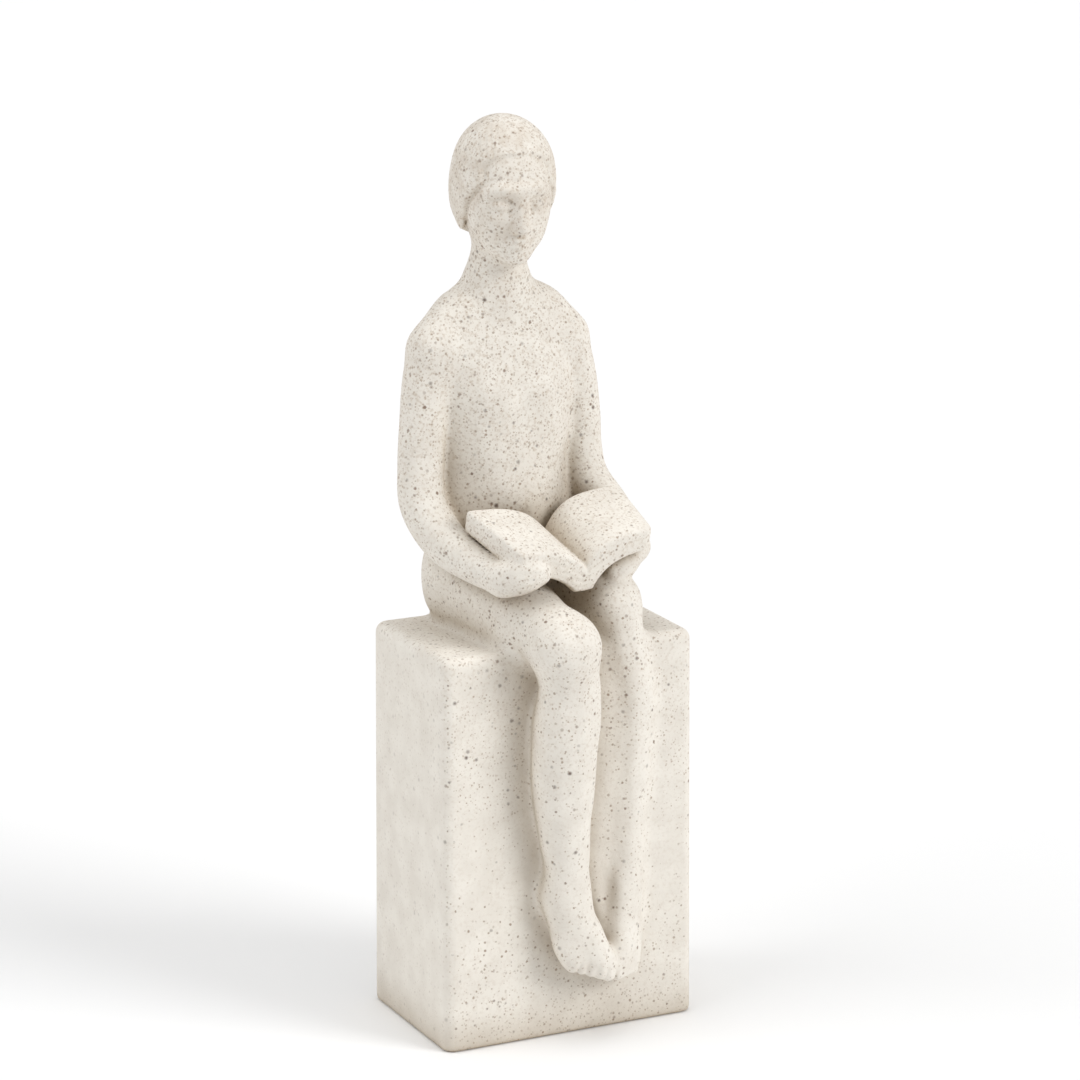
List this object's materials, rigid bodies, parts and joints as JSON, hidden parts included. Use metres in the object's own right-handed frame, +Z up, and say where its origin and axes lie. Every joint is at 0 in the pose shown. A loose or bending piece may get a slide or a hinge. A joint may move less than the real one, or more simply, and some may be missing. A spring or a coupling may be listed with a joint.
{
  "type": "seated reading figurine",
  "caption": "Cast ornament of a seated woman reading an open book, on a tall rectangular block, in speckled off-white stone finish.",
  "frame": {"origin": "centre of the block's flat underside", "axes": "+Z up, -Y the way the figure faces, -X the figure's right-hand side"},
  "size_m": [0.0904, 0.0843, 0.2982],
  "materials": {
    "speckled_stone": "matt sandy off-white cast stone effect with fine brown and grey specks"
  },
  "bodies": {
    "root": {"seated_reader": "speckled_stone"}
  },
  "joints": []
}
